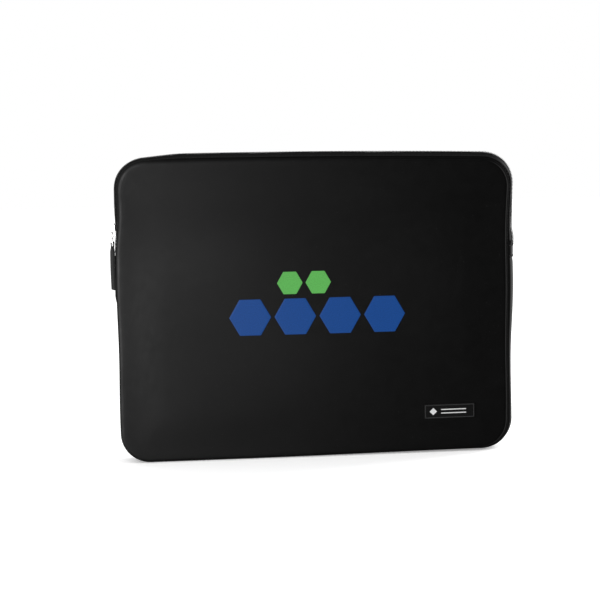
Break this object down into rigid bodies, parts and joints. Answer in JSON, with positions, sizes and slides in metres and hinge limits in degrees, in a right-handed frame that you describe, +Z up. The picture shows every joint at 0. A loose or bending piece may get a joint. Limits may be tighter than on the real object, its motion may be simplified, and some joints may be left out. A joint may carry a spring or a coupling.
{
  "type": "laptop sleeve",
  "caption": "Padded neoprene laptop sleeve standing on its gusset, mouth open, with a coil zip over the top, a wire-looped fabric pull, a printed front and a small sewn label.",
  "frame": {"origin": "centre of the flat outer face of the bottom gusset, midway between the front and back panels", "axes": "+X to the right across the sleeve seen from the front, +Y from front to back, +Z up from the bottom gusset to the mouth"},
  "size_m": [0.3965, 0.0456, 0.2971],
  "materials": {
    "face_knit": "matte",
    "foam_core": "matte",
    "plush_lining": "matte",
    "seam_binding": "matte",
    "zip_tape": "matte",
    "zip_coil": "satin",
    "slider_metal": "satin",
    "pull_wire": "satin",
    "pull_webbing": "matte",
    "stitch_thread": "satin",
    "label_fabric": "satin",
    "label_edge": "satin",
    "label_white": "matte",
    "blue_ink": "satin",
    "green_ink": "satin"
  },
  "bodies": {
    "pocket": {"front_lower_face": "face_knit", "front_lower_foam": "foam_core", "front_lower_lining": "plush_lining", "front_lower_binding": "seam_binding", "back_lower_face": "face_knit", "back_lower_foam": "foam_core", "back_lower_lining": "plush_lining", "back_lower_binding": "seam_binding", "gusset_face": "face_knit", "gusset_foam": "foam_core", "gusset_lining": "plush_lining", "zip_end_tapes": "zip_tape", "zip_end_coils": "zip_coil", "left_end_tab": "seam_binding", "right_end_tab": "seam_binding", "bar_tacks": "stitch_thread", "label_patch": "label_fabric", "label_border": "label_edge", "label_mark": "label_white", "blue_print": "blue_ink", "green_print": "green_ink"},
    "front_lip": {"front_lip_face": "face_knit", "front_lip_foam": "foam_core", "front_lip_lining": "plush_lining", "front_lip_binding": "seam_binding", "front_zip_tape": "zip_tape", "front_zip_coil": "zip_coil"},
    "back_lip": {"back_lip_face": "face_knit", "back_lip_foam": "foam_core", "back_lip_lining": "plush_lining", "back_lip_binding": "seam_binding", "back_zip_tape": "zip_tape", "back_zip_coil": "zip_coil"},
    "slider": {"slider_body": "slider_metal"},
    "pull_loop": {"pull_loop": "pull_wire"},
    "pull_tab": {"pull_tab": "pull_webbing", "pull_tab_stitches": "stitch_thread"}
  },
  "joints": [
    {"name": "front_lip_fold", "type": "hinge", "parent": "pocket", "child": "front_lip", "pos_m": [0, -0.017, 0.213], "axis": [1, 0, 0], "range_deg": [-8, 45], "stiffness_Nm_per_rad": 0.15, "springref_deg": -0.69},
    {"name": "back_lip_fold", "type": "hinge", "parent": "pocket", "child": "back_lip", "pos_m": [0, 0.017, 0.213], "axis": [-1, 0, 0], "range_deg": [0, 30], "stiffness_Nm_per_rad": 0.15},
    {"name": "slider_travel", "type": "slide", "parent": "back_lip", "child": "slider", "axis": [0, 0, 1], "range_m": [-0.004, 0.028]},
    {"name": "pull_loop_swing", "type": "hinge", "parent": "slider", "child": "pull_loop", "pos_m": [-0.1982, 0, 0.2265], "axis": [0, 1, 0], "range_deg": [0, 110]},
    {"name": "pull_tab_swing", "type": "hinge", "parent": "pull_loop", "child": "pull_tab", "pos_m": [-0.1982, 0, 0.216], "axis": [0, 1, 0], "range_deg": [0, 65]}
  ]
}
